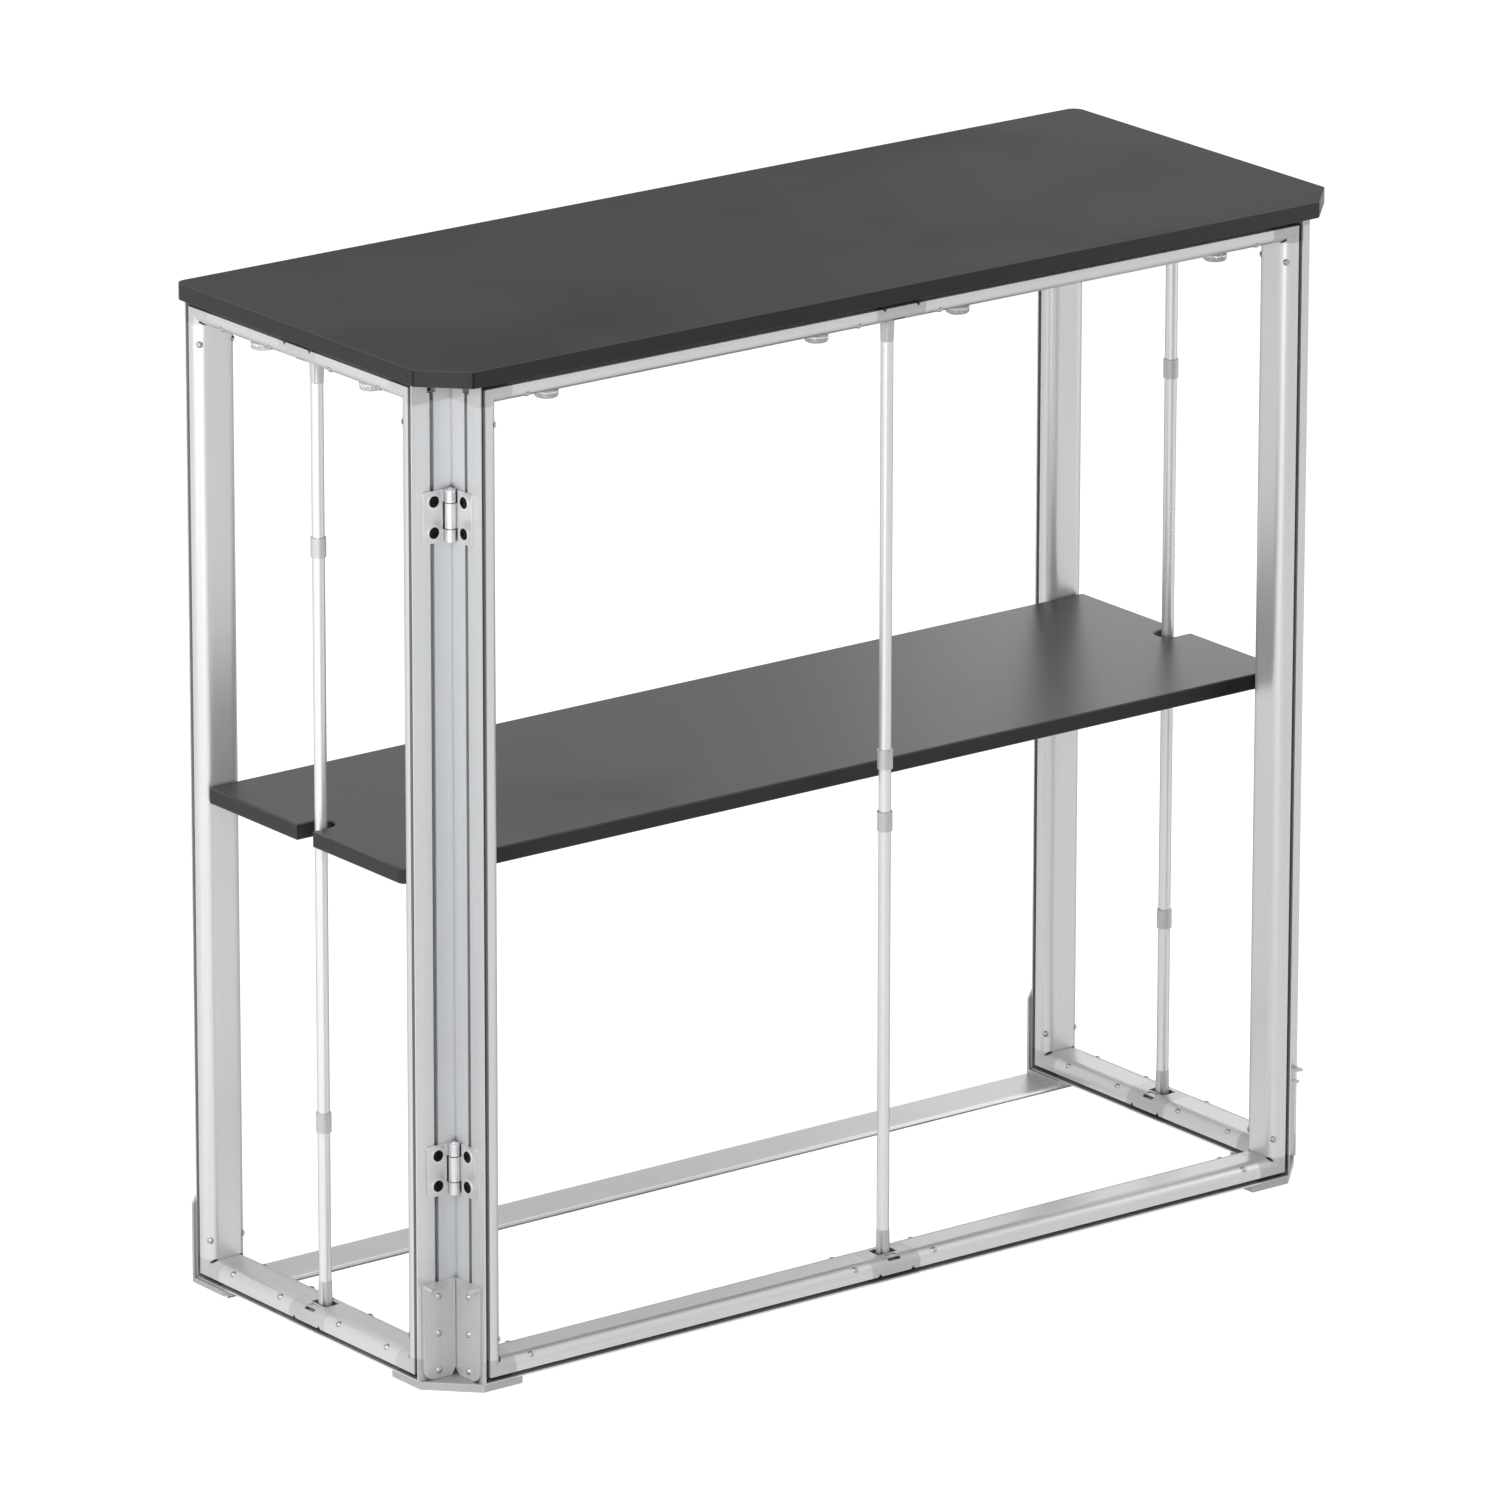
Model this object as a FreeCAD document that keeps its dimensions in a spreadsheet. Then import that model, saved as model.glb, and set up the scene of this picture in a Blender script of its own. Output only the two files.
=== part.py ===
import FreeCAD, Part
import math
import os

V = FreeCAD.Vector
doc = FreeCAD.newDocument("counter")

# Driving dimensions in millimetres
sizes = {
    # worktop
    "top_length": 1085.0,
    "top_depth": 424.0,
    "top_thick": 16.0,
    "top_overhang": 7.5,
    "top_chamfer": 40.0,
    "top_radius": 12.0,
    # frames: three rectangles of one extruded section
    "frame_height": 976.0,
    "frame_thick": 45.0,
    # extruded section: lip, fabric groove, flat, rounded shoulder, crown
    "profile_height": 22.0,
    "lip_thick": 1.5,
    "groove_width": 4.5,
    "groove_depth": 11.5,
    "flat_width": 4.0,
    "wall_thick": 1.8,
    "slot_mouth": 4.5,
    "slot_chamber": 9.0,
    # connectors
    "corner_post_leg": 22.5,
    "corner_rail_leg": 37.0,
    "tongue_length": 30.0,
    "tongue_clear": 0.3,
    "mid_length": 58.0,
    "recess_length": 23.0,
    "recess_width": 16.0,
    "recess_depth": 4.5,
    "mark_offset": 20.0,
    "mark_width": 5.0,
    "mark_height": 3.2,
    "latch_length": 13.0,
    "latch_width": 7.0,
    "latch_depth": 1.2,
    "latch_edge": 9.5,
    "latch_slot_length": 15.0,
    "latch_slot_width": 3.5,
    "latch_slot_depth": 4.0,
    "window_length": 7.0,
    "window_width": 2.6,
    "window_depth": 3.0,
    "window_offset": 16.0,
    "key_width": 10.0,
    "key_height": 13.0,
    "key_depth": 14.0,
    # poles
    "tube_diameter": 12.0,
    "tube_bore": 9.6,
    "tube_gap": 1.0,
    "sleeve_diameter": 15.0,
    "sleeve_length": 19.0,
    "sleeve_clear": 0.05,
    "sleeve_offset_front": 31.0,
    "socket_length": 27.0,
    "socket_foot": 14.0,
    "socket_neck": 12.6,
    "socket_spigot": 16.0,
    "socket_flute": 2.2,
    "socket_flute_depth": 1.6,
    # small domed screws
    "screw_head": 6.6,
    "screw_rise": 1.9,
    "screw_shank": 2.8,
    "screw_reach": 7.0,
    "screw_clear": 0.05,
    "screw_inset": 19.0,
    # hinges
    "hinge_height": 50.0,
    "hinge_low_inset": 206.5,
    "hinge_high_inset": 132.0,
    "leaf_thick": 2.5,
    "leaf_reach": 34.0,
    "leaf_corner": 3.0,
    "knuckle_diameter": 11.0,
    "knuckle_clear": 0.3,
    "knuckle_gap": 1.1,
    "knuckle_height": 24.0,
    "pin_diameter": 6.0,
    "pin_clear": 0.05,
    "pin_rise": 2.0,
    "leaf_screw_pitch": 30.0,
    "leaf_screw_head": 10.6,
    "leaf_screw_rise": 1.4,
    "leaf_screw_shank": 4.0,
    "leaf_screw_reach": 5.5,
    "leaf_screw_socket": 4.6,
    "leaf_ring": 14.6,
    "leaf_ring_bore": 11.4,
    "leaf_ring_rise": 0.8,
    # feet at the two front corners
    "base_thick": 8.0,
    "base_inset": 2.0,
    "base_reach": 45.0,
    "wing_height": 96.0,
    "wing_thick": 3.0,
    "wing_reach": 40.0,
    "wing_gap": 0.5,
    "wing_round": 12.0,
    "wing_foot": 8.0,
    "wing_lift": 0.3,
    "tab_width": 26.0,
    "tab_root": 1.5,
    "tab_depth": 12.0,
    "tab_thick": 3.0,
    "wing_screw_low": 8.0,
    "wing_screw_pitch": 37.0,
    # rear feet and the tie strip between them
    "strip_thick": 3.0,
    "strip_width": 52.0,
    "strip_lip": 2.0,
    "foot_plate": 3.0,
    "foot_length": 48.0,
    "foot_height": 90.0,
    "foot_over": 3.0,
    "foot_cut": 10.0,
    # shelf
    "shelf_thick": 16.0,
    "shelf_gap": 2.5,
    "shelf_end_gap": 4.0,
    "shelf_radius": 8.0,
    "shelf_rear_radius": 2.0,
    "notch_width": 26.0,
    "notch_depth": 32.0,
    "peg_width": 10.0,
    "peg_height": 5.0,
    "peg_reach": 9.0,
    # thumb knobs that clamp the worktop
    "knob_diameter": 23.0,
    "knob_height": 9.0,
    "knob_round": 2.5,
    "knob_dish": 1.2,
    "stud_diameter": 6.0,
    "stud_bite": 9.0,
    "stud_clear": 0.05,
    "stud_hole": 7.0,
    "stud_slot": 10.0,
    "insert_diameter": 9.0,
    "insert_depth": 11.0,
    "insert_clear": 0.05,
    "knob_outer_inset": 92.0,
    "knob_clear": 25.0,
    "cut_overrun": 5.0,
}

sheet = doc.addObject("Spreadsheet::Sheet", "Sizes")
for row, (alias, size) in enumerate(sizes.items(), start=1):
    sheet.set("A%d" % row, alias)
    sheet.set("B%d" % row, str(size))
    sheet.setAlias("B%d" % row, alias)
doc.recompute()


def val(alias):
    return float(sheet.get(alias))


# Places worked out from the driving dimensions
half = 0.5
dome_flat_share = 0.25
socket_floor_share = 0.3
shelf_level_share = 0.5123
sleeve_end_share = 0.291
frame_low = val("base_thick")
frame_high = frame_low + val("frame_height")
frame_mid = (frame_low + frame_high) * half
end_outer = val("top_length") * half - val("top_overhang")
end_inner = end_outer - val("frame_thick")
end_middle = (end_outer + end_inner) * half
front_outer = -(val("top_depth") * half - val("top_overhang"))
front_inner = front_outer + val("frame_thick")
front_middle = (front_outer + front_inner) * half
rear_edge = -front_outer
front_length = end_inner * 2
end_length = rear_edge - front_inner
end_centre = (rear_edge + front_inner) * half
half_thick = val("frame_thick") * half
groove_top = val("lip_thick") + val("groove_width")
shoulder_low = groove_top + val("flat_width")
shoulder_radius = val("profile_height") - shoulder_low
crown_half = half_thick - shoulder_radius
crown_low = frame_low + val("profile_height")
crown_high = frame_high - val("profile_height")
post_length = val("frame_height") - val("corner_post_leg") * 2
shelf_level = frame_low + val("frame_height") * shelf_level_share
sleeve_offset_end = val("frame_height") * sleeve_end_share
knob_inner = val("mid_length") * half + val("tongue_length") + val("knob_clear")
knob_outer = front_length * half - val("knob_outer_inset")
knob_end = (val("mid_length") * half + end_length * half - val("corner_rail_leg")) * half
pin_offset = val("knuckle_diameter") * half + val("knuckle_clear")
pin_x = end_inner + pin_offset
pin_y = front_inner - pin_offset
diagonal = math.sqrt(half)

up = V(0, 0, 1)
down = V(0, 0, -1)
east = V(1, 0, 0)
west = V(-1, 0, 0)
north = V(0, 1, 0)
south = V(0, -1, 0)


def place(origin, inward, along):
    """Local Y turns to inward and local Z to along."""
    return FreeCAD.Placement(origin, FreeCAD.Rotation(inward.cross(along), inward, along, "XYZ"))


def outline(points):
    """Closed edges through points; a (via, end) pair is an arc."""
    edges = []
    last = points[0]
    for step in points[1:] + points[:1]:
        if isinstance(step, tuple):
            edges.append(Part.Arc(last, step[0], step[1]))
            last = step[1]
        else:
            edges.append(Part.LineSegment(last, step))
            last = step
    return edges


def circle(x, y, diameter):
    return [Part.Circle(V(x, y, 0), up, diameter * half)]


def dome(wide, low, rise):
    """Half outline of a spherical cap with a small flat on top, from its rim to the axis."""
    ball = (wide * wide + rise * rise) / (rise * 2)
    rim = math.asin(wide / ball)
    crest = rim * dome_flat_share
    centre = low + rise - ball
    via = (rim + crest) * half
    top = centre + ball * math.cos(crest)
    return [V(wide, low, 0), (V(ball * math.sin(via), centre + ball * math.cos(via), 0),
                              V(ball * math.sin(crest), top, 0)), V(0, top, 0)]


def body(name):
    made = doc.addObject("PartDesign::Body", name)
    made.Label = name
    return made


def sketch(owner, role, edges):
    made = owner.newObject("Sketcher::SketchObject", owner.Name + "_sketch")
    plane = [item for item in owner.Origin.OriginFeatures if item.Role == role][0]
    made.AttachmentSupport = (plane, [""])
    made.MapMode = "FlatFace"
    for edge in edges:
        made.addGeometry(edge, False)
    return made


def pad(owner, role, edges, length, symmetric=False, reverse=False):
    made = owner.newObject("PartDesign::Pad", owner.Name + "_pad")
    made.Profile = sketch(owner, role, edges)
    made.setExpression("Length", length)
    made.SideType = "Symmetric" if symmetric else "One side"
    made.Reversed = reverse
    return made


def pocket(owner, role, edges, length=None, reverse=False):
    made = owner.newObject("PartDesign::Pocket", owner.Name + "_pocket")
    made.Profile = sketch(owner, role, edges)
    made.Reversed = reverse
    if length is None:
        made.Type = "ThroughAll"
        made.SideType = "Symmetric"
    else:
        made.setExpression("Length", length)
    return made


def revolve(owner, points):
    made = owner.newObject("PartDesign::Revolution", owner.Name + "_turned")
    made.Profile = sketch(owner, "XZ_Plane", outline(points))
    made.ReferenceAxis = (made.Profile[0], ["V_Axis"])
    made.Angle = 360
    return made


def box(name, sides, corner):
    made = doc.addObject("Part::Box", name)
    for side, expression in zip(("Length", "Width", "Height"), sides):
        made.setExpression(side, expression)
    made.Placement.Base = corner
    return made


def cylinder(name, diameter, height, placement):
    made = doc.addObject("Part::Cylinder", name)
    made.setExpression("Radius", "(%s) / 2" % diameter)
    made.setExpression("Height", height)
    made.Placement = placement
    return made


def fuse(name, shapes):
    made = doc.addObject("Part::MultiFuse", name)
    made.Shapes = shapes
    return made


def cut(name, base, tools):
    made = doc.addObject("Part::Cut", name)
    made.Base = base
    made.Tool = tools[0] if len(tools) == 1 else fuse(name + "_tools", tools)
    return made


nodes = []


def node(label, *placed):
    """One exported sub-part: linked copies of (master, placement) pairs."""
    links = []
    for master, placement in placed:
        link = doc.addObject("App::Link", label + "_copy")
        link.LinkedObject = master
        link.Placement = placement
        links.append(link)
    made = doc.addObject("Part::Compound", label)
    made.Label = label
    made.Links = links
    nodes.append(made)
    return made


def rounded(low, high, radii):
    """Rectangle from low to high with its four corners rounded, from low-low counter-clockwise."""
    corners = [low, V(high.x, low.y, 0), high, V(low.x, high.y, 0)]
    steps = []
    for index, corner in enumerate(corners):
        before = corners[index - 1] - corner
        after = corners[(index + 1) % len(corners)] - corner
        before.normalize()
        after.normalize()
        radius = radii[index]
        centre = corner + (before + after) * radius
        start = corner + before * radius
        end = corner + after * radius
        via = centre - (before + after) * (radius * diagonal)
        steps.append(start)
        steps.append((via, end))
    return steps


# Extruded section: X across the frame, Y from the perimeter edge to the crown
def section_outer():
    mouth = val("slot_mouth") * half
    chamber = val("slot_chamber") * half
    lip = val("lip_thick")
    deep = half_thick - val("groove_depth")
    high = val("profile_height")
    bend = shoulder_radius * diagonal
    right_via = V(crown_half + bend, shoulder_low + bend, 0)
    left_via = V(-crown_half - bend, shoulder_low + bend, 0)
    return outline([
        V(mouth, 0, 0), V(half_thick, 0, 0), V(half_thick, lip, 0), V(deep, lip, 0),
        V(deep, groove_top, 0), V(half_thick, groove_top, 0), V(half_thick, shoulder_low, 0),
        (right_via, V(crown_half, high, 0)), V(-crown_half, high, 0),
        (left_via, V(-half_thick, shoulder_low, 0)), V(-half_thick, groove_top, 0),
        V(-deep, groove_top, 0), V(-deep, lip, 0), V(-half_thick, lip, 0), V(-half_thick, 0, 0),
        V(-mouth, 0, 0), V(-mouth, lip, 0), V(-chamber, lip, 0), V(-chamber, groove_top, 0),
        V(chamber, groove_top, 0), V(chamber, lip, 0), V(mouth, lip, 0),
    ])


chamber_low = groove_top + val("wall_thick")
chamber_half = half_thick - val("wall_thick")
chamber_high = val("profile_height") - val("wall_thick")


def section_hollow():
    bend = (shoulder_radius - val("wall_thick")) * diagonal
    return outline([
        V(-chamber_half, chamber_low, 0), V(chamber_half, chamber_low, 0), V(chamber_half, shoulder_low, 0),
        (V(crown_half + bend, shoulder_low + bend, 0), V(crown_half, chamber_high, 0)),
        V(-crown_half, chamber_high, 0),
        (V(-crown_half - bend, shoulder_low + bend, 0), V(-chamber_half, shoulder_low, 0)),
    ])


def tongue_outline():
    wide = crown_half - val("tongue_clear")
    low = chamber_low + val("tongue_clear")
    high = chamber_high - val("tongue_clear")
    return outline([V(-wide, low, 0), V(wide, low, 0), V(wide, high, 0), V(-wide, high, 0)])


# Small screws stand square on the middle of each rounded shoulder
def shoulder_seats(lengths):
    seats = []
    for side in (1, -1):
        outward = V(side * diagonal, diagonal, 0)
        for along in lengths:
            seat = V(side * crown_half, shoulder_low, along) + outward * shoulder_radius
            seats.append(FreeCAD.Placement(seat, FreeCAD.Rotation(up, outward)))
    return seats


def drilled(name, base, lengths):
    tools = []
    for seat in shoulder_seats(lengths):
        hole = seat.multiply(FreeCAD.Placement(V(0, 0, -val("screw_reach")), FreeCAD.Rotation()))
        tools.append(cylinder(name + "_hole", "Sizes.screw_shank + 2 * Sizes.screw_clear",
                              "Sizes.screw_reach + Sizes.cut_overrun", hole))
    return cut(name + "_drilled", base, tools)


def ends(length):
    return (val("screw_inset"), length - val("screw_inset"))


def extrusion(name, length, edges=()):
    made = body(name)
    pad(made, "XY_Plane", section_outer() + section_hollow(), length)
    if edges:
        pocket(made, "XZ_Plane", edges)
    return made


post_expression = "Sizes.frame_height - 2 * Sizes.corner_post_leg"
post = drilled("post", extrusion("post_section", post_expression), ends(post_length))
front_rail_length = (front_length - val("mid_length")) * half - val("corner_rail_leg")
end_rail_length = (end_length - val("mid_length")) * half - val("corner_rail_leg")
front_expression = ("Sizes.top_length / 2 - Sizes.top_overhang - Sizes.frame_thick"
                    " - Sizes.mid_length / 2 - Sizes.corner_rail_leg")
end_expression = ("(Sizes.top_depth - 2 * Sizes.top_overhang - Sizes.frame_thick - Sizes.mid_length) / 2"
                  " - Sizes.corner_rail_leg")

# Rails start at the mid connector and run to the corner, so stud places count from the middle
front_stud_runs = [knob_inner - val("mid_length") * half, knob_outer - val("mid_length") * half]
end_stud_run = knob_end - val("mid_length") * half


def stud_holes():
    edges = []
    for run in front_stud_runs:
        edges += circle(0, run, val("stud_hole"))
    return edges


def stud_slot(side):
    wide = val("stud_slot") * half
    reach = side * (half_thick + val("cut_overrun"))
    shut = -side * val("stud_hole") * half
    return outline([V(shut, end_stud_run - wide, 0), V(reach, end_stud_run - wide, 0),
                    V(reach, end_stud_run + wide, 0), V(shut, end_stud_run + wide, 0)])


front_rail = drilled("front_rail", extrusion("front_rail_section", front_expression),
                     ends(front_rail_length))
end_rail = drilled("end_rail", extrusion("end_rail_section", end_expression), ends(end_rail_length))
front_top_rail = drilled("front_top_rail", extrusion("front_top_section", front_expression, stud_holes()),
                         ends(front_rail_length))
end_top_rails = {}
for side, word in ((1, "right"), (-1, "left")):
    slotted = extrusion("end_top_section_" + word, end_expression, stud_slot(side))
    end_top_rails[side] = drilled("end_top_rail_" + word, slotted, ends(end_rail_length))

# Corner connector: the section swept round a mitred corner, with a tongue into each profile
corner_section = doc.addObject("Sketcher::SketchObject", "corner_section")
for edge in section_outer():
    corner_section.addGeometry(edge, False)
corner_path = doc.addObject("Part::Polygon", "corner_path")
corner_turn = V(0, 0, val("corner_post_leg"))
corner_path.Nodes = [V(0, 0, 0), corner_turn, corner_turn + V(0, val("corner_rail_leg"), 0)]
corner_sweep = doc.addObject("Part::Sweep", "corner_sweep")
corner_sweep.Sections = [corner_section]
corner_sweep.Spine = (corner_path, ["Edge1", "Edge2"])
corner_sweep.Solid = True
corner_sweep.Frenet = False
corner_sweep.Transition = "Right corner"
tongue_wide = "Sizes.frame_thick - 2 * (Sizes.profile_height - Sizes.lip_thick - Sizes.groove_width" \
              " - Sizes.flat_width) - 2 * Sizes.tongue_clear"
tongue_high = "Sizes.profile_height - 2 * Sizes.wall_thick - Sizes.lip_thick - Sizes.groove_width" \
              " - 2 * Sizes.tongue_clear"
tongue_side = crown_half - val("tongue_clear")
tongue_low = chamber_low + val("tongue_clear")
tongue_high_edge = chamber_high - val("tongue_clear")
post_tongue = box("post_tongue", (tongue_wide, tongue_high, "Sizes.tongue_length + Sizes.tongue_clear"),
                  V(-tongue_side, tongue_low, -val("tongue_length")))
rail_tongue = box("rail_tongue", (tongue_wide, "Sizes.tongue_length + Sizes.tongue_clear", tongue_high),
                  V(-tongue_side, val("corner_rail_leg") - val("tongue_clear"),
                    val("corner_post_leg") - tongue_high_edge))
corner_whole = fuse("corner_whole", [corner_sweep, post_tongue, rail_tongue])
# Slot along the mitre line of each shoulder
window_tools = []
window_rise = shoulder_radius ** 2 - (val("window_offset") - crown_half) ** 2
seat = shoulder_low + math.sqrt(window_rise)
for side in (1, -1):
    window = box("corner_window", ("Sizes.window_length", "Sizes.window_depth * 2", "Sizes.window_width"),
                 V(-val("window_length") * half, -val("window_depth"), -val("window_width") * half))
    middle = V(side * val("window_offset"), seat, val("corner_post_leg") - seat)
    turn = FreeCAD.Rotation(east, -45)
    window.Placement = FreeCAD.Placement(middle, turn).multiply(window.Placement)
    window_tools.append(window)
# Wider opening at the end of the edge slot, where the corner key goes in
key_sides = ("Sizes.key_width", "Sizes.key_depth + Sizes.cut_overrun",
             "Sizes.key_height + Sizes.cut_overrun")
key_spot = V(-val("key_width") * half, -val("cut_overrun"), val("corner_post_leg") - val("key_height"))
window_tools.append(box("corner_key", key_sides, key_spot))
corner = cut("corner_connector", corner_whole, window_tools)

# Mid connector: a short length of the section with a tongue each way and a recess for the pole
mid = body("mid_connector")
pad(mid, "XY_Plane", section_outer(), "Sizes.mid_length", symmetric=True)
pad(mid, "XY_Plane", tongue_outline(), "Sizes.mid_length + 2 * Sizes.tongue_length", symmetric=True)
mark_half = val("mark_width") * half
for side in (1, -1):
    spot = side * val("mark_offset")
    pocket(mid, "YZ_Plane", outline([V(groove_top, spot - mark_half, 0), V(groove_top, spot + mark_half, 0),
                                     V(groove_top + val("mark_height"), spot, 0)]))
recess_low = V(-val("recess_width") * half, -val("recess_length") * half, 0)
recess_tool = box("recess_tool", ("Sizes.recess_width", "Sizes.recess_depth + Sizes.cut_overrun",
                                  "Sizes.recess_length"),
                  V(recess_low.x, val("profile_height") - val("recess_depth"), recess_low.y))
mid_tools = [recess_tool]
# Pole latch on each shoulder: a flat beside the recess and a slot below it
latch_tilt = 39
latch_turn = FreeCAD.Rotation(up, latch_tilt)
latch_arm = latch_turn.multVec(V(0, shoulder_radius, 0))
for side in (1, -1):
    flat_low = val("latch_edge") if side > 0 else -val("latch_edge") - val("latch_width")
    flat_sides = ("Sizes.latch_width", "Sizes.latch_depth + Sizes.cut_overrun", "Sizes.latch_length")
    flat_spot = V(flat_low, val("profile_height") - val("latch_depth"), -val("latch_length") * half)
    mid_tools.append(box("latch_flat", flat_sides, flat_spot))
    slot_sides = ("Sizes.latch_slot_width", "Sizes.latch_slot_depth * 2", "Sizes.latch_slot_length")
    slot_low = V(-val("latch_slot_width") * half, -val("latch_slot_depth"), -val("latch_slot_length") * half)
    slot = box("latch_slot", slot_sides, slot_low)
    slot_spot = V(side * (crown_half - latch_arm.x), shoulder_low + latch_arm.y, 0)
    slot_turn = FreeCAD.Rotation(up, -side * latch_tilt)
    slot.Placement = FreeCAD.Placement(slot_spot, slot_turn).multiply(slot.Placement)
    mid_tools.append(slot)
mid_connector = cut("mid_connector_cut", mid, mid_tools)

# Poles: three tubes, two joining sleeves and a fluted socket at each rail
pole_low = crown_low - val("recess_depth")
pole_high = crown_high + val("recess_depth")
tube_low = pole_low + val("socket_length")
tube_high = pole_high - val("socket_length")


def tube(name, length):
    made = body(name)
    pad(made, "XY_Plane", circle(0, 0, val("tube_diameter")) + circle(0, 0, val("tube_bore")), length)
    return made


sleeve = body("pole_sleeve")
pad(sleeve, "XY_Plane", circle(0, 0, val("sleeve_diameter"))
    + circle(0, 0, val("tube_diameter") + val("sleeve_clear") * 2), "Sizes.sleeve_length", symmetric=True)
socket_turned = body("pole_socket")
revolve(socket_turned, [
    V(0, 0, 0), V(val("socket_foot") * half, 0, 0), V(val("socket_neck") * half, val("socket_length"), 0),
    V(val("tube_bore") * half - val("sleeve_clear"), val("socket_length"), 0),
    V(val("tube_bore") * half - val("sleeve_clear"), val("socket_length") + val("socket_spigot"), 0),
    V(0, val("socket_length") + val("socket_spigot"), 0),
])
flute_tools = []
for quarter in range(4):
    flute = box("socket_flute", ("Sizes.socket_flute_depth + Sizes.cut_overrun", "Sizes.socket_flute",
                                 "Sizes.socket_length"),
                V(val("socket_foot") * half - val("socket_flute_depth"), -val("socket_flute") * half, 0))
    flute_turn = FreeCAD.Rotation(up, 90 * quarter + 45)
    flute.Placement = FreeCAD.Placement(V(0, 0, 0), flute_turn).multiply(flute.Placement)
    flute_tools.append(flute)
socket = cut("pole_socket_cut", socket_turned, flute_tools)

# Small domed screw: head on the XY plane, shank below
screw = body("domed_screw")
screw_wide = val("screw_head") * half
revolve(screw, [
    V(0, -val("screw_reach") + val("screw_clear"), 0),
    V(val("screw_shank") * half, -val("screw_reach") + val("screw_clear"), 0),
    V(val("screw_shank") * half, 0, 0),
] + dome(screw_wide, 0, val("screw_rise")))


class Frame:
    """A rectangle of profiles: along runs from its first post to its second."""

    def __init__(self, name, start, along, length, sleeve_offset, rail, top_rails):
        self.name = name
        self.start = start
        self.along = along
        self.length = length
        self.sleeve_offset = sleeve_offset
        self.rail = rail
        self.top_rails = top_rails
        self.middle = start + along * (length * half)
        self.screws = []

    def at(self, run, height):
        return self.start + self.along * run + V(0, 0, height)

    def add(self, master, placement, length):
        for seat in shoulder_seats(ends(length)):
            self.screws.append((screw, placement.multiply(seat)))
        return (master, placement)

    def posts(self, words):
        low = frame_low + val("corner_post_leg")
        first = place(self.at(0, low), self.along, up)
        second = place(self.at(self.length, low), self.along * -1, up)
        node(self.name + "_" + words[0] + "_post", self.add(post, first, post_length))
        node(self.name + "_" + words[1] + "_post", self.add(post, second, post_length))

    def rails(self, rail_length):
        run = (self.length + val("mid_length")) * half
        far = self.length - run
        back = self.along * -1
        low = (self.add(self.rail, place(self.at(run, frame_low), up, self.along), rail_length),
               self.add(self.rail, place(self.at(far, frame_low), up, back), rail_length))
        high = (self.add(self.top_rails[0], place(self.at(run, frame_high), down, self.along), rail_length),
                self.add(self.top_rails[1], place(self.at(far, frame_high), down, back), rail_length))
        node(self.name + "_bottom_rails", *low)
        node(self.name + "_top_rails", *high)

    def corners(self):
        drop = val("corner_post_leg")
        back = self.along * -1
        node(self.name + "_corner_connectors",
             (corner, place(self.at(0, frame_high - drop), self.along, up)),
             (corner, place(self.at(self.length, frame_high - drop), back, up)),
             (corner, place(self.at(0, frame_low + drop), self.along, down)),
             (corner, place(self.at(self.length, frame_low + drop), back, down)))

    def mids(self):
        node(self.name + "_mid_connectors",
             (mid_connector, place(self.at(self.length * half, frame_low), up, self.along)),
             (mid_connector, place(self.at(self.length * half, frame_high), down, self.along)))

    def pole(self, end_tube, mid_tube):
        base = self.middle
        low_joint = frame_mid - self.sleeve_offset
        high_joint = frame_mid + self.sleeve_offset
        gap = val("tube_gap") * half
        node(self.name + "_pole_tubes",
             (end_tube, FreeCAD.Placement(base + V(0, 0, tube_low), FreeCAD.Rotation())),
             (mid_tube, FreeCAD.Placement(base + V(0, 0, low_joint + gap), FreeCAD.Rotation())),
             (end_tube, FreeCAD.Placement(base + V(0, 0, high_joint + gap), FreeCAD.Rotation())))
        node(self.name + "_pole_sleeves",
             (sleeve, FreeCAD.Placement(base + V(0, 0, low_joint), FreeCAD.Rotation())),
             (sleeve, FreeCAD.Placement(base + V(0, 0, high_joint), FreeCAD.Rotation())))
        node(self.name + "_pole_sockets",
             (socket, place(base + V(0, 0, pole_low), north, up)),
             (socket, place(base + V(0, 0, pole_high), north, down)))


half_height = "(Sizes.frame_height / 2 - Sizes.profile_height + Sizes.recess_depth - Sizes.socket_length)"
end_tube = tube("end_pole_tube",
                half_height + " - Sizes.frame_height * %s - Sizes.tube_gap / 2" % sleeve_end_share)
end_mid_tube = tube("end_pole_middle", "2 * Sizes.frame_height * %s - Sizes.tube_gap" % sleeve_end_share)
front_tube = tube("front_pole_tube", half_height + " - Sizes.sleeve_offset_front - Sizes.tube_gap / 2")
front_mid_tube = tube("front_pole_middle", "2 * Sizes.sleeve_offset_front - Sizes.tube_gap")

front = Frame("front", V(-front_length * half, front_middle, 0), east, front_length,
              val("sleeve_offset_front"), front_rail, (front_top_rail, front_top_rail))
left = Frame("left", V(-end_middle, front_inner, 0), north, end_length,
             sleeve_offset_end, end_rail, (end_top_rails[1], end_top_rails[-1]))
right = Frame("right", V(end_middle, front_inner, 0), north, end_length,
              sleeve_offset_end, end_rail, (end_top_rails[-1], end_top_rails[1]))
front.posts(("left", "right"))
left.posts(("front", "rear"))
right.posts(("front", "rear"))
for frame, rail_length, tubes in ((front, front_rail_length, (front_tube, front_mid_tube)),
                                  (left, end_rail_length, (end_tube, end_mid_tube)),
                                  (right, end_rail_length, (end_tube, end_mid_tube))):
    frame.rails(rail_length)
    frame.corners()
    frame.mids()
    frame.pole(*tubes)

# Hinge leaves: local X from the pin along the leaf, local Y towards the post, Z up
leaf_seat = pin_offset
knuckle_edge = val("knuckle_diameter") * half + val("knuckle_gap")
outer_knuckle = (val("hinge_height") - val("knuckle_height")) * half - val("knuckle_gap")


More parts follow.
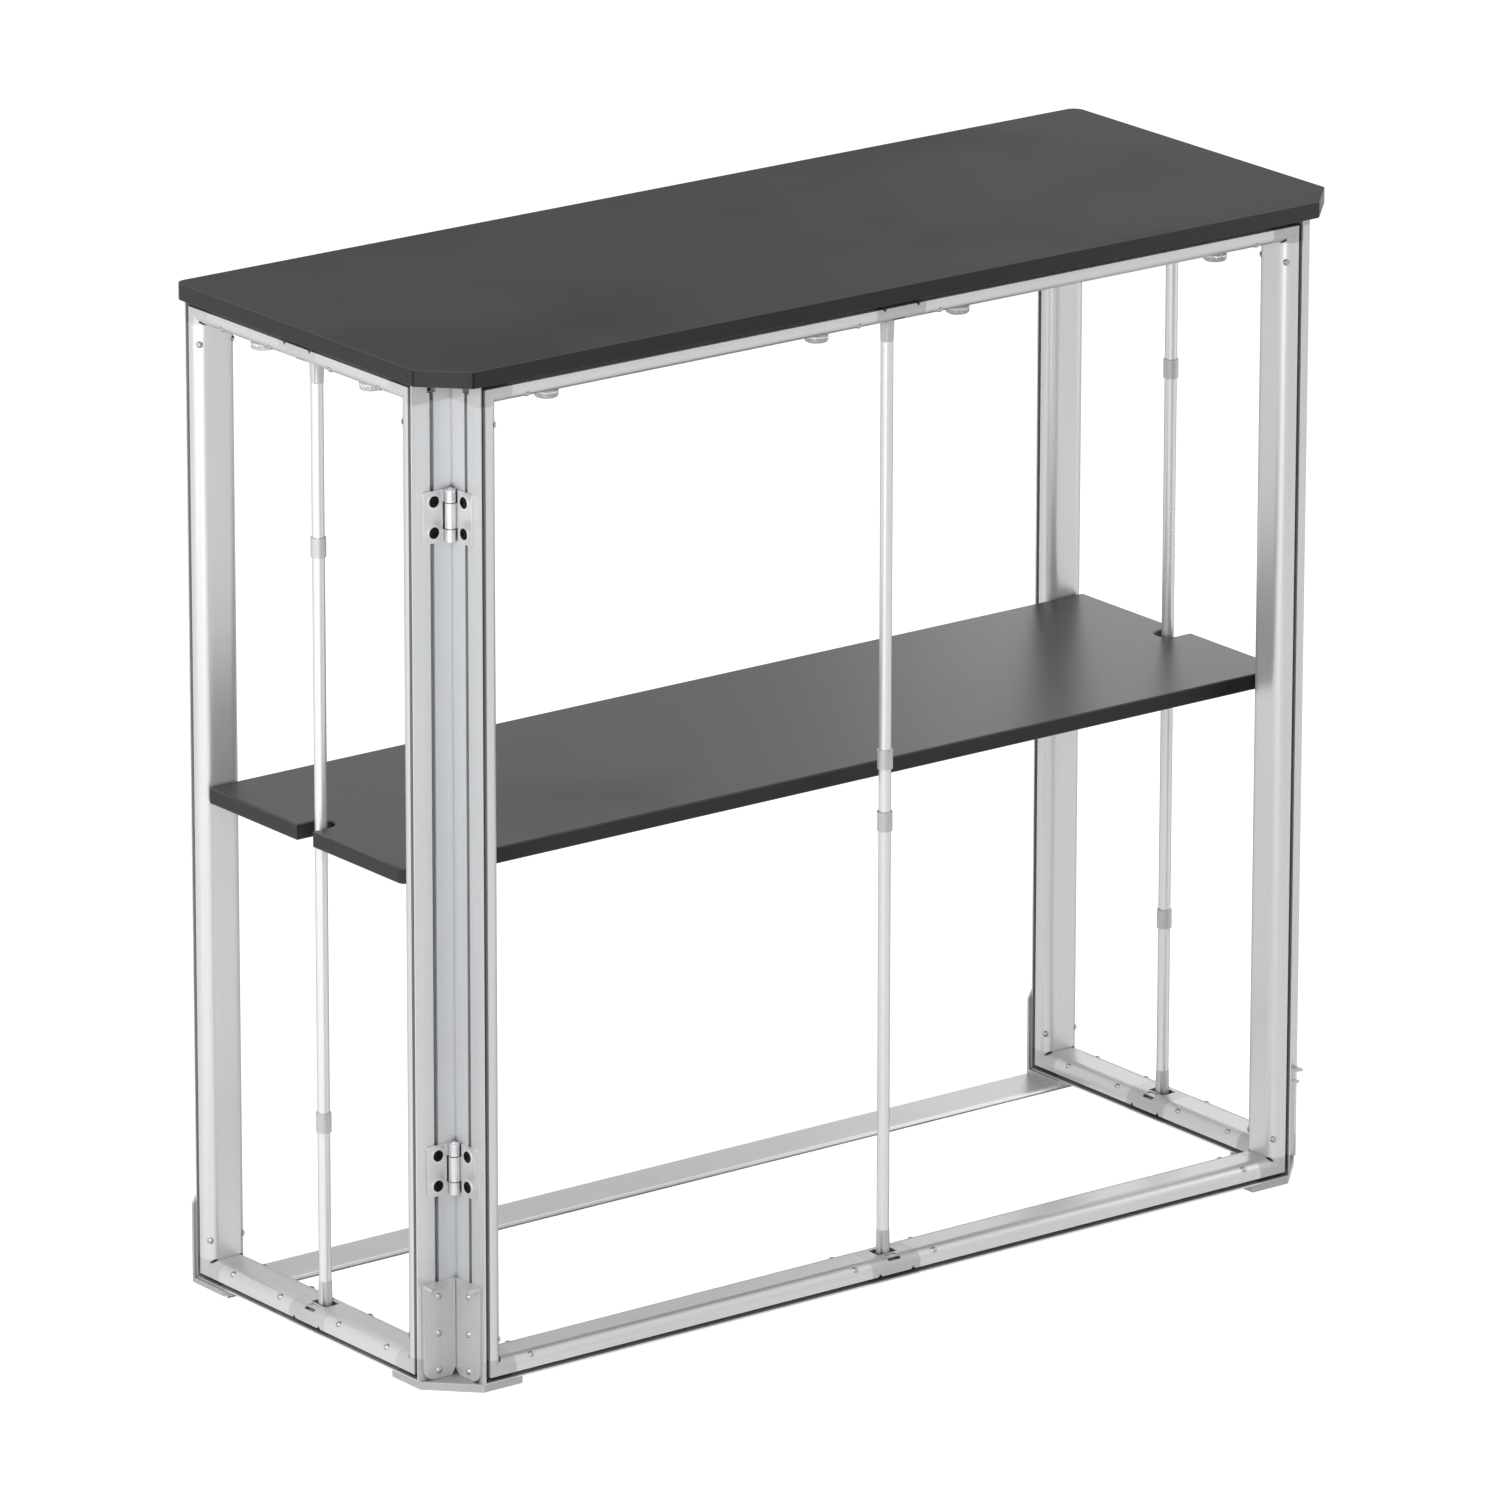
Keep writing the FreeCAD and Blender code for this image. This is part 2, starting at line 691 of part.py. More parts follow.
def leaf(name, knuckles):
    plate = body(name)
    high = val("hinge_height")
    far = val("leaf_reach") - pin_offset
    round_corner = val("leaf_corner")
    points = rounded(V(knuckle_edge, -high * half, 0), V(far, high * half, 0),
                     [0.0, round_corner, round_corner, 0.0])
    points = [step for step in points if not isinstance(step, tuple) or (step[0] - step[1]).Length > 0]
    pad(plate, "XZ_Plane", outline(points), "Sizes.leaf_thick")
    plate.Placement.Base = V(0, leaf_seat, 0)
    shapes = [plate]
    for low, tall in knuckles:
        bridge = box(name + "_bridge", ("Sizes.knuckle_diameter / 2 + Sizes.knuckle_gap + Sizes.leaf_thick",
                                        "Sizes.leaf_thick - Sizes.knuckle_clear", tall),
                     V(0, leaf_seat - val("leaf_thick"), low))
        barrel = cylinder(name + "_knuckle", "Sizes.knuckle_diameter", tall,
                          FreeCAD.Placement(V(0, 0, low), FreeCAD.Rotation()))
        shapes += [bridge, barrel]
    for side in (1, -1):
        spot = V(half_thick - pin_offset, leaf_seat, side * val("leaf_screw_pitch") * half)
        shapes.append(cylinder(name + "_ring", "Sizes.leaf_ring", "Sizes.leaf_thick + Sizes.leaf_ring_rise",
                               FreeCAD.Placement(spot, FreeCAD.Rotation(up, south))))
    bore = cylinder(name + "_bore", "Sizes.pin_diameter + 2 * Sizes.pin_clear",
                    "Sizes.hinge_height + 2 * Sizes.cut_overrun",
                    FreeCAD.Placement(V(0, 0, -high * half - val("cut_overrun")), FreeCAD.Rotation()))
    tools = [bore]
    for side in (1, -1):
        spot = V(half_thick - pin_offset, leaf_seat + val("cut_overrun"),
                 side * val("leaf_screw_pitch") * half)
        tools.append(cylinder(name + "_screw_hole", "Sizes.leaf_screw_shank + 2 * Sizes.screw_clear",
                              "Sizes.leaf_thick + 2 * Sizes.cut_overrun",
                              FreeCAD.Placement(spot, FreeCAD.Rotation(up, south))))
        spot = V(spot.x, leaf_seat - val("leaf_thick"), spot.z)
        tools.append(cylinder(name + "_ring_bore", "Sizes.leaf_ring_bore", "Sizes.cut_overrun",
                              FreeCAD.Placement(spot, FreeCAD.Rotation(up, south))))
    return cut(name + "_bored", fuse(name + "_fused", shapes), tools)


middle_tall = "Sizes.knuckle_height"
outer_tall = "(Sizes.hinge_height - Sizes.knuckle_height) / 2 - Sizes.knuckle_gap"
front_leaf = leaf("front_leaf", [(-val("knuckle_height") * half, middle_tall)])
side_leaf = leaf("side_leaf", [(-val("hinge_height") * half, outer_tall),
                               (val("knuckle_height") * half + val("knuckle_gap"), outer_tall)])
pin = body("hinge_pin")
pin_wide = val("pin_diameter") * half
pin_tall = val("hinge_height") * half
revolve(pin, [
    V(0, -pin_tall, 0), V(pin_wide, -pin_tall, 0),
] + dome(pin_wide, pin_tall, val("pin_rise")))
leaf_screw = body("leaf_screw")
leaf_head = val("leaf_screw_head") * half
leaf_shank = val("leaf_screw_shank") * half
leaf_socket = val("leaf_screw_socket") * half
leaf_rise = val("leaf_screw_rise")
leaf_floor = leaf_rise * socket_floor_share
leaf_deep = -val("leaf_screw_reach") - val("leaf_thick")
revolve(leaf_screw, [
    V(0, leaf_deep, 0), V(leaf_shank, leaf_deep, 0), V(leaf_shank, 0, 0), V(leaf_head, 0, 0),
    V(leaf_head, leaf_rise * half, 0), V(leaf_head - leaf_rise * half, leaf_rise, 0),
    V(leaf_socket, leaf_rise, 0), V(leaf_socket, leaf_floor, 0), V(0, leaf_floor, 0),
])

# Corner feet: a base plate under both posts and an upright wing on each post
def wing_heights():
    return [val("wing_screw_low") + index * val("wing_screw_pitch") for index in range(3)]


def wing(name, start, hand):
    """Upright plate along X from start to its reach, its thickness on the hand side of Y."""
    made = body(name)
    tall = val("wing_height")
    far = val("wing_reach")
    foot_cut = val("wing_foot")
    lift = val("wing_lift")
    soft = val("wing_round")
    bend = soft * (1 - diagonal)
    pad(made, "XZ_Plane", outline([
        V(start, foot_cut, 0), V(foot_cut, lift, 0), V(far - soft, lift, 0),
        (V(far - bend, lift + bend, 0), V(far, lift + soft, 0)), V(far, tall, 0), V(start, tall, 0),
    ]), "Sizes.wing_thick", reverse=hand > 0)
    near = far - val("tab_width")
    shelf_edge = tall - val("tab_thick")
    pad(made, "XZ_Plane", outline([
        V(near, shelf_edge, 0), V(far, shelf_edge, 0), V(far, tall, 0), V(near, tall, 0),
    ]), "Sizes.wing_thick + Sizes.tab_depth", reverse=hand > 0)
    # the tab narrows towards the valley, so that two tabs pass when the frame swings
    over = val("cut_overrun")
    root = hand * (val("wing_thick") + val("tab_root"))
    tip = hand * (val("wing_thick") + val("tab_depth"))
    clear = tip + hand * over
    pocket(made, "XY_Plane", outline([
        V(near - over, root, 0), V(near, root, 0), V(far, tip, 0), V(far + over, tip, 0),
        V(far + over, clear, 0), V(near - over, clear, 0),
    ]))
    tools = []
    for height in wing_heights():
        spot = V(half_thick, -hand * val("cut_overrun"), height)
        tools.append(cylinder(name + "_hole", "Sizes.screw_shank + 2 * Sizes.screw_clear",
                              "Sizes.wing_thick + 2 * Sizes.cut_overrun",
                              FreeCAD.Placement(spot, FreeCAD.Rotation(up, V(0, hand, 0)))))
    return cut(name + "_drilled", made, tools)


side_wing_start = val("wing_thick") + val("wing_gap")
front_wing_masters = {-1: wing("front_wing_left", 0, -1), 1: wing("front_wing_right", 0, 1)}
side_wing_masters = {-1: wing("side_wing_left", side_wing_start, 1),
                     1: wing("side_wing_right", side_wing_start, -1)}

base = body("base_plate")
inset = val("base_inset")
reach = val("base_reach")
outer = val("frame_thick") - inset
pad(base, "XY_Plane", outline([
    V(-outer, reach, 0), V(-outer, 0, 0), V(0, -outer, 0), V(reach, -outer, 0), V(reach, inset, 0),
    V(inset, inset, 0), V(inset, reach, 0),
]), "Sizes.base_thick")

# Rear feet: an angle under the end of each side frame, and a strip that ties them
foot = body("rear_foot")
foot_wide = "Sizes.frame_thick + 2 * Sizes.foot_over"
foot_deck = frame_low - val("strip_thick")
pad(foot, "YZ_Plane", outline([
    V(-val("foot_length"), 0, 0), V(val("foot_plate"), 0, 0), V(val("foot_plate"), val("foot_height"), 0),
    V(0, val("foot_height"), 0), V(0, foot_deck, 0), V(-val("foot_length"), foot_deck, 0),
]), foot_wide, symmetric=True)
foot_cut = val("foot_cut")
foot_half = half_thick + val("foot_over")
for side in (1, -1):
    pocket(foot, "XZ_Plane", outline([
        V(side * foot_half, val("foot_height") - foot_cut, 0), V(side * foot_half, val("foot_height"), 0),
        V(side * (foot_half - val("foot_over") * 2), val("foot_height"), 0),
    ]))
foot_tools = []
for height in wing_heights()[1:]:
    spot = V(0, -val("cut_overrun"), height)
    foot_tools.append(cylinder("foot_hole", "Sizes.screw_shank + 2 * Sizes.screw_clear",
                               "Sizes.foot_plate + 2 * Sizes.cut_overrun",
                               FreeCAD.Placement(spot, FreeCAD.Rotation(up, north))))
rear_foot = cut("rear_foot_drilled", foot, foot_tools)
strip = body("strip_section")
strip_far = rear_edge + val("foot_plate")
strip_near = strip_far - val("strip_width")
strip_lip = val("strip_lip")
pad(strip, "YZ_Plane", outline([
    V(strip_near, 0, 0), V(strip_far, 0, 0), V(strip_far, val("strip_thick"), 0),
    V(strip_near + strip_lip, val("strip_thick"), 0), V(strip_near, val("strip_thick") - strip_lip, 0),
]), "Sizes.top_length - 2 * Sizes.top_overhang - 2 * Sizes.base_inset", symmetric=True)

# Worktop: chamfered front corners, rounded rear corners, eight blind holes for the inserts
top = body("worktop")
top_x = val("top_length") * half
top_y = val("top_depth") * half
bevel = val("top_chamfer")
soft = val("top_radius")
bend = soft * (1 - diagonal)
pad(top, "XY_Plane", outline([
    V(-top_x + bevel, -top_y, 0), V(top_x - bevel, -top_y, 0),
    V(top_x, -top_y + bevel, 0), V(top_x, top_y - soft, 0),
    (V(top_x - bend, top_y - bend, 0), V(top_x - soft, top_y, 0)), V(-top_x + soft, top_y, 0),
    (V(-top_x + bend, top_y - bend, 0), V(-top_x, top_y - soft, 0)), V(-top_x, -top_y + bevel, 0),
]), "Sizes.top_thick")
knob_places = [("front_far_left", V(-knob_outer, front_middle, 0)),
               ("front_left", V(-knob_inner, front_middle, 0)),
               ("front_right", V(knob_inner, front_middle, 0)),
               ("front_far_right", V(knob_outer, front_middle, 0)),
               ("left_front", V(-end_middle, end_centre - knob_end, 0)),
               ("left_rear", V(-end_middle, end_centre + knob_end, 0)),
               ("right_front", V(end_middle, end_centre - knob_end, 0)),
               ("right_rear", V(end_middle, end_centre + knob_end, 0))]
insert_edges = []
for word, spot in knob_places:
    insert_edges += circle(spot.x, spot.y, val("insert_diameter") + val("insert_clear") * 2)
pocket(top, "XY_Plane", insert_edges, "Sizes.insert_depth", reverse=True)
insert = body("threaded_insert")
pad(insert, "XY_Plane", circle(0, 0, val("insert_diameter"))
    + circle(0, 0, val("stud_diameter") + val("stud_clear") * 2), "Sizes.insert_depth")
knob = body("thumb_knob")
knob_wide = val("knob_diameter") * half
knob_soft = val("knob_round")
knob_bend = knob_soft * (1 - diagonal)
knob_low = -val("knob_height")
stud_wide = val("stud_diameter") * half
stud_high = val("profile_height") + val("stud_bite")
revolve(knob, [
    V(0, knob_low + val("knob_dish"), 0), V(knob_wide * half, knob_low + val("knob_dish"), 0),
    V(knob_wide - knob_soft * 2, knob_low, 0), V(knob_wide - knob_soft, knob_low, 0),
    (V(knob_wide - knob_bend, knob_low + knob_bend, 0), V(knob_wide, knob_low + knob_soft, 0)),
    V(knob_wide, -knob_soft, 0), V(knob_wide - knob_soft, 0, 0), V(stud_wide, 0, 0),
    V(stud_wide, stud_high, 0), V(0, stud_high, 0),
])

# Shelf: fills the depth between the end posts, notched round the end poles
shelf = body("shelf_board")
shelf_x = end_outer - val("shelf_end_gap")
shelf_front = front_inner + val("profile_height") + val("shelf_gap")
shelf_rear = rear_edge - val("profile_height") - val("shelf_gap")
shelf_corners = [val("shelf_radius")] * 2 + [val("shelf_rear_radius")] * 2
pad(shelf, "XY_Plane", outline(rounded(V(-shelf_x, shelf_front, 0), V(shelf_x, shelf_rear, 0),
                                       shelf_corners)), "Sizes.shelf_thick", reverse=True)
notch_half = val("notch_width") * half
for side in (1, -1):
    mouth = side * (shelf_x + val("cut_overrun"))
    root = side * (shelf_x - val("notch_depth") + notch_half)
    pocket(shelf, "XY_Plane", outline([
        V(mouth, end_centre - notch_half, 0), V(root, end_centre - notch_half, 0),
        (V(root - side * notch_half, end_centre, 0), V(root, end_centre + notch_half, 0)),
        V(mouth, end_centre + notch_half, 0),
    ]))
peg = body("shelf_peg")
peg_half = val("peg_width") * half
pad(peg, "XY_Plane", outline([V(-peg_half, 0, 0), V(peg_half, 0, 0), V(peg_half, val("peg_reach"), 0),
                              V(-peg_half, val("peg_reach"), 0)]), "Sizes.peg_height", reverse=True)

# Placed pieces of the two front corners, the feet, the boards and the knobs
hinge_levels = (frame_low + val("hinge_low_inset"), frame_high - val("hinge_high_inset"))
front_leaves = []
pins = []
front_leaf_screws = []
bases = []
front_wings = []
for side, word, frame in ((-1, "left", left), (1, "right", right)):
    side_leaves = []
    side_leaf_screws = []
    axis = V(side * pin_x, pin_y, 0)
    valley = V(side * end_inner, front_inner, 0)
    outward = V(side, 0, 0)
    # front leaf lies along -Y against the front post; side leaf runs outward against the end post
    front_turn = FreeCAD.Rotation(south, outward * -1, south.cross(outward * -1), "XYZ")
    side_turn = FreeCAD.Rotation(outward, north, outward.cross(north), "XYZ")
    for level in hinge_levels:
        spot = axis + V(0, 0, level)
        front_leaves.append((front_leaf, FreeCAD.Placement(spot, front_turn)))
        side_leaves.append((side_leaf, FreeCAD.Placement(spot, side_turn)))
        pins.append((pin, FreeCAD.Placement(spot, FreeCAD.Rotation())))
        for row in (1, -1):
            height = level + row * val("leaf_screw_pitch") * half
            front_seat = V(side * (end_inner + val("leaf_thick")), front_middle, height)
            side_seat = V(side * end_middle, front_inner - val("leaf_thick"), height)
            front_drive = FreeCAD.Rotation(up, outward)
            side_drive = FreeCAD.Rotation(up, south)
            front_leaf_screws.append((leaf_screw, FreeCAD.Placement(front_seat, front_drive)))
            side_leaf_screws.append((leaf_screw, FreeCAD.Placement(side_seat, side_drive)))
    node(word + "_hinge_leaves", *side_leaves)
    node(word + "_leaf_screws", *side_leaf_screws)
    base_turn = FreeCAD.Rotation() if side < 0 else FreeCAD.Rotation(up, 90)
    bases.append((base, FreeCAD.Placement(valley, base_turn)))
    wing_spot = valley + V(0, 0, frame_low)
    wing_front_turn = FreeCAD.Rotation(south, east, up, "XYZ")
    wing_side_turn = FreeCAD.Rotation(outward, V(0, side, 0), up, "XYZ")
    front_wings.append((front_wing_masters[side], FreeCAD.Placement(wing_spot, wing_front_turn)))
    node(word + "_corner_wing", (side_wing_masters[side], FreeCAD.Placement(wing_spot, wing_side_turn)))
    foot_spot = V(side * end_middle, rear_edge, val("strip_thick"))
    node(word + "_rear_foot", (rear_foot, FreeCAD.Placement(foot_spot, FreeCAD.Rotation())))
    for height in wing_heights():
        side_head = V(side * end_middle, front_inner - val("wing_thick"), frame_low + height)
        front_head = V(side * (end_inner + val("wing_thick")), front_middle, frame_low + height)
        frame.screws.append((screw, FreeCAD.Placement(side_head, FreeCAD.Rotation(up, south))))
        front.screws.append((screw, FreeCAD.Placement(front_head, FreeCAD.Rotation(up, outward))))
    for height in wing_heights()[1:]:
        foot_head = V(side * end_middle, rear_edge + val("foot_plate"), val("strip_thick") + height)
        frame.screws.append((screw, FreeCAD.Placement(foot_head, FreeCAD.Rotation(up, north))))
    peg_x = side * (end_middle - crown_half + peg_half)
    peg_level = shelf_level - val("shelf_thick")
    front_peg = V(peg_x, front_inner + val("profile_height"), peg_level)
    rear_peg = V(peg_x, rear_edge - val("profile_height"), peg_level)
    node(word + "_shelf_pegs", (peg, FreeCAD.Placement(front_peg, FreeCAD.Rotation())),
         (peg, FreeCAD.Placement(rear_peg, FreeCAD.Rotation(up, 180))))
node("front_hinge_leaves", *front_leaves)
node("hinge_pins", *pins)
node("front_leaf_screws", *front_leaf_screws)
node("front_base_plates", *bases)
node("front_corner_wings", *front_wings)
for frame in (front, left, right):
    node(frame.name + "_screws", *frame.screws)
node("tie_strip", (strip, FreeCAD.Placement()))
node("counter_top", (top, FreeCAD.Placement(V(0, 0, frame_high), FreeCAD.Rotation())))
node("shelf", (shelf, FreeCAD.Placement(V(0, 0, shelf_level), FreeCAD.Rotation())))
node("top_inserts", *[(insert, FreeCAD.Placement(spot + V(0, 0, frame_high), FreeCAD.Rotation()))
                      for word, spot in knob_places])
for word, spot in knob_places:
    node("knob_" + word, (knob, FreeCAD.Placement(spot + V(0, 0, crown_high), FreeCAD.Rotation())))

doc.recompute()
for item in doc.Objects:
    if "Invalid" in item.State or "Error" in item.State:
        raise RuntimeError("failed object: " + item.Name)
for made in nodes:
    if made.Shape.isNull() or not made.Shape.isValid():
        raise RuntimeError("bad shape: " + made.Label)
os.makedirs("parts", exist_ok=True)
for made in nodes:
    made.Shape.exportStep("parts/" + made.Label + ".step")
print("wrote", len(nodes), "sub-parts")
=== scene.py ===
import math
import bmesh
import bpy
from mathutils import Matrix, Vector


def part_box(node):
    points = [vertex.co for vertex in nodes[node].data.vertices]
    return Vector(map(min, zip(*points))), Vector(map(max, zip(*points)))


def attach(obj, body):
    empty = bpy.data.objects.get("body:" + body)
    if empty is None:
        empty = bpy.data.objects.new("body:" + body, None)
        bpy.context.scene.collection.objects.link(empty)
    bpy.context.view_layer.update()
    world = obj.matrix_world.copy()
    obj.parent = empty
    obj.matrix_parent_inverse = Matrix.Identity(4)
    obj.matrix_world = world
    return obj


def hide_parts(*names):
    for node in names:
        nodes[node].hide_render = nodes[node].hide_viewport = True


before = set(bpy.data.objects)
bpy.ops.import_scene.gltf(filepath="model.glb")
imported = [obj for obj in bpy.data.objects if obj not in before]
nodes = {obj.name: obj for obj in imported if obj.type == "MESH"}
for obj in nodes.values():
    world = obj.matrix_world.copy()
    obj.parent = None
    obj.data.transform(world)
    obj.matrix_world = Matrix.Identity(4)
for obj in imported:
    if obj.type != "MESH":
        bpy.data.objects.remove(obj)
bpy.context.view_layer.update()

print("frame loaded:", len(nodes), "nodes")


# shader helpers
def addNode(tree, kind, values=None, **settings):
    node = tree.nodes.new(kind)
    for name, value in settings.items():
        setattr(node, name, value)
    for socket, value in (values or {}).items():
        node.inputs[socket].default_value = value
    return node


def newGroup(name, inputs, outputs):
    tree = bpy.data.node_groups.new(name, "ShaderNodeTree")
    for label, kind, value in inputs:
        socket = tree.interface.new_socket(label, in_out="INPUT", socket_type=kind)
        if value is not None:
            socket.default_value = value
    for label, kind in outputs:
        tree.interface.new_socket(label, in_out="OUTPUT", socket_type=kind)
    return tree, tree.nodes.new("NodeGroupInput"), tree.nodes.new("NodeGroupOutput")


def useGroup(tree, group, values):
    node = tree.nodes.new("ShaderNodeGroup")
    node.node_tree = group
    for socket, value in values.items():
        node.inputs[socket].default_value = value
    return node


# long fine lines left by the die or the brush, drawn out along one direction
def makeDrawnLines():
    tree, inlet, outlet = newGroup("drawnLines", [
        ("Place", "NodeSocketVector", None), ("Stretch", "NodeSocketVector", (900.0, 900.0, 6.0)),
        ("Contrast", "NodeSocketFloat", 0.5)],
        [("Lines", "NodeSocketFloat"), ("Rough", "NodeSocketFloat")])
    link = tree.links.new
    stretch = addNode(tree, "ShaderNodeVectorMath", operation="MULTIPLY")
    link(inlet.outputs["Place"], stretch.inputs[0])
    link(inlet.outputs["Stretch"], stretch.inputs[1])
    fine = addNode(tree, "ShaderNodeTexNoise", {"Scale": 1.0, "Detail": 5.0, "Roughness": 0.65})
    link(stretch.outputs[0], fine.inputs["Vector"])
    sharpen = addNode(tree, "ShaderNodeMapRange", {"From Min": 0.32, "From Max": 0.68})
    link(fine.outputs["Fac"], sharpen.inputs["Value"])
    weigh = addNode(tree, "ShaderNodeMath", operation="MULTIPLY")
    link(sharpen.outputs["Result"], weigh.inputs[0])
    link(inlet.outputs["Contrast"], weigh.inputs[1])
    link(weigh.outputs[0], outlet.inputs["Lines"])
    link(sharpen.outputs["Result"], outlet.inputs["Rough"])
    return tree


# slow uneven tint and handling marks, at the scale of a hand
def makeHandling():
    tree, inlet, outlet = newGroup("handling", [
        ("Place", "NodeSocketVector", None), ("Scale", "NodeSocketFloat", 9.0),
        ("Speck Scale", "NodeSocketFloat", 420.0)],
        [("Cloud", "NodeSocketFloat"), ("Speck", "NodeSocketFloat"), ("Smudge", "NodeSocketFloat")])
    link = tree.links.new
    cloud = addNode(tree, "ShaderNodeTexNoise", {"Detail": 3.0, "Roughness": 0.5})
    link(inlet.outputs["Place"], cloud.inputs["Vector"])
    link(inlet.outputs["Scale"], cloud.inputs["Scale"])
    link(cloud.outputs["Fac"], outlet.inputs["Cloud"])
    speck = addNode(tree, "ShaderNodeTexNoise", {"Detail": 2.0, "Roughness": 0.7})
    link(inlet.outputs["Place"], speck.inputs["Vector"])
    link(inlet.outputs["Speck Scale"], speck.inputs["Scale"])
    link(speck.outputs["Fac"], outlet.inputs["Speck"])
    smudge = addNode(tree, "ShaderNodeMapRange", {"From Min": 0.5, "From Max": 0.8})
    link(cloud.outputs["Fac"], smudge.inputs["Value"])
    link(smudge.outputs["Result"], outlet.inputs["Smudge"])
    return tree


# painted shade: colour darkened by ambient occlusion in grooves, slots, seats and where parts meet, where
# shade falls
def makeCreviceShade():
    tree, inlet, outlet = newGroup("creviceShade", [
        ("Colour", "NodeSocketColor", None), ("Reach", "NodeSocketFloat", 0.01),
        ("Unshaded", "NodeSocketFloat", 0.8), ("Darkest", "NodeSocketFloat", 0.2)],
        [("Colour", "NodeSocketColor")])
    link = tree.links.new
    shut = addNode(tree, "ShaderNodeAmbientOcclusion", samples=6)
    link(inlet.outputs["Reach"], shut.inputs["Distance"])
    shadeRange = addNode(tree, "ShaderNodeMapRange", {"From Min": 0.05, "To Max": 1.0})
    link(shut.outputs["AO"], shadeRange.inputs["Value"])
    link(inlet.outputs["Unshaded"], shadeRange.inputs["From Max"])
    link(inlet.outputs["Darkest"], shadeRange.inputs["To Min"])
    paintedShade = addNode(tree, "ShaderNodeMix", {"Factor": 1.0}, data_type="RGBA", blend_type="MULTIPLY")
    link(inlet.outputs["Colour"], paintedShade.inputs["A"])
    link(shadeRange.outputs["Result"], paintedShade.inputs["B"])
    link(paintedShade.outputs["Result"], outlet.inputs["Colour"])
    return tree


# finish rubbed through where two faces meet, broken up by the handling marks
def makeEdgeWear():
    tree, inlet, outlet = newGroup("edgeWear", [
        ("Colour", "NodeSocketColor", None), ("Worn", "NodeSocketColor", None),
        ("Marks", "NodeSocketFloat", 0.5), ("Radius", "NodeSocketFloat", 0.001),
        ("Amount", "NodeSocketFloat", 0.85)],
        [("Colour", "NodeSocketColor")])
    link = tree.links.new
    eased = addNode(tree, "ShaderNodeBevel", samples=4)
    link(inlet.outputs["Radius"], eased.inputs["Radius"])
    flat = tree.nodes.new("ShaderNodeNewGeometry")
    agree = addNode(tree, "ShaderNodeVectorMath", operation="DOT_PRODUCT")
    link(eased.outputs[0], agree.inputs[0])
    link(flat.outputs["Normal"], agree.inputs[1])
    edge = addNode(tree, "ShaderNodeMapRange", {
        "From Min": 0.995, "From Max": 0.9, "To Min": 0.0, "To Max": 1.0})
    link(agree.outputs["Value"], edge.inputs["Value"])
    broken = addNode(tree, "ShaderNodeMapRange", {
        "From Min": 0.3, "From Max": 0.6, "To Min": 0.3, "To Max": 1.0})
    link(inlet.outputs["Marks"], broken.inputs["Value"])
    share = addNode(tree, "ShaderNodeMath", operation="MULTIPLY")
    link(edge.outputs["Result"], share.inputs[0])
    link(broken.outputs["Result"], share.inputs[1])
    weigh = addNode(tree, "ShaderNodeMath", operation="MULTIPLY")
    link(share.outputs[0], weigh.inputs[0])
    link(inlet.outputs["Amount"], weigh.inputs[1])
    wearAndPaintedLightMix = addNode(tree, "ShaderNodeMix", data_type="RGBA")
    link(weigh.outputs[0], wearAndPaintedLightMix.inputs["Factor"])
    link(inlet.outputs["Colour"], wearAndPaintedLightMix.inputs["A"])
    link(inlet.outputs["Worn"], wearAndPaintedLightMix.inputs["B"])
    link(wearAndPaintedLightMix.outputs["Result"], outlet.inputs["Colour"])
    return tree


drawnLines = makeDrawnLines()
handling = makeHandling()
creviceShade = makeCreviceShade()
edgeWear = makeEdgeWear()


def startMaterial(name, settings):
    material = bpy.data.materials.new(name)
    material.use_nodes = True
    tree = material.node_tree
    shader = tree.nodes["Principled BSDF"]
    for socket, value in settings.items():
        shader.inputs[socket].default_value = value
    place = tree.nodes.new("ShaderNodeTexCoord")
    return material, tree, shader, place.outputs["Object"]


# a band along the front edge in one tint: the strip has a painted highlight band and a painted contact shadow
# band
def paintedLightBand(tree, colour, look):
    place = tree.nodes.new("ShaderNodeTexCoord")
    split = tree.nodes.new("ShaderNodeSeparateXYZ")
    tree.links.new(place.outputs["Object"], split.inputs[0])
    band = addNode(tree, "ShaderNodeMapRange", {
        "From Min": look["from"], "From Max": look["to"], "To Min": 1.0, "To Max": 0.0})
    tree.links.new(split.outputs["Y"], band.inputs["Value"])
    wearAndPaintedLightMix = addNode(tree, "ShaderNodeMix", data_type="RGBA")
    tree.links.new(band.outputs["Result"], wearAndPaintedLightMix.inputs["Factor"])
    tree.links.new(colour, wearAndPaintedLightMix.inputs["A"])
    wearAndPaintedLightMix.inputs["B"].default_value = (*look["tint"], 1.0)
    return wearAndPaintedLightMix.outputs["Result"]


# base colour: dark to light by the marks, then painted highlight and shadow bands, worn edges and painted
# shade from ambient occlusion where the look has them
def tintBetween(tree, factor, marks, look, target):
    mix = addNode(tree, "ShaderNodeMix", data_type="RGBA")
    mix.inputs["A"].default_value = (*look["dark"], 1.0)
    mix.inputs["B"].default_value = (*look["light"], 1.0)
    tree.links.new(factor, mix.inputs["Factor"])
    colour = mix.outputs["Result"]
    for band in look.get("paintedLightBands", []):
        colour = paintedLightBand(tree, colour, band)
    if "worn" in look:
        rubbed = useGroup(tree, edgeWear, {"Worn": (*look["worn"], 1.0), "Radius": look["wornReach"]})
        tree.links.new(colour, rubbed.inputs["Colour"])
        tree.links.new(marks, rubbed.inputs["Marks"])
        colour = rubbed.outputs["Colour"]
    # painted shade in crevices and contacts, darkened by ambient occlusion
    if "paintedShade" in look:
        paintedShading = useGroup(tree, creviceShade, look["paintedShade"])
        tree.links.new(colour, paintedShading.inputs["Colour"])
        colour = paintedShading.outputs["Colour"]
    tree.links.new(colour, target)


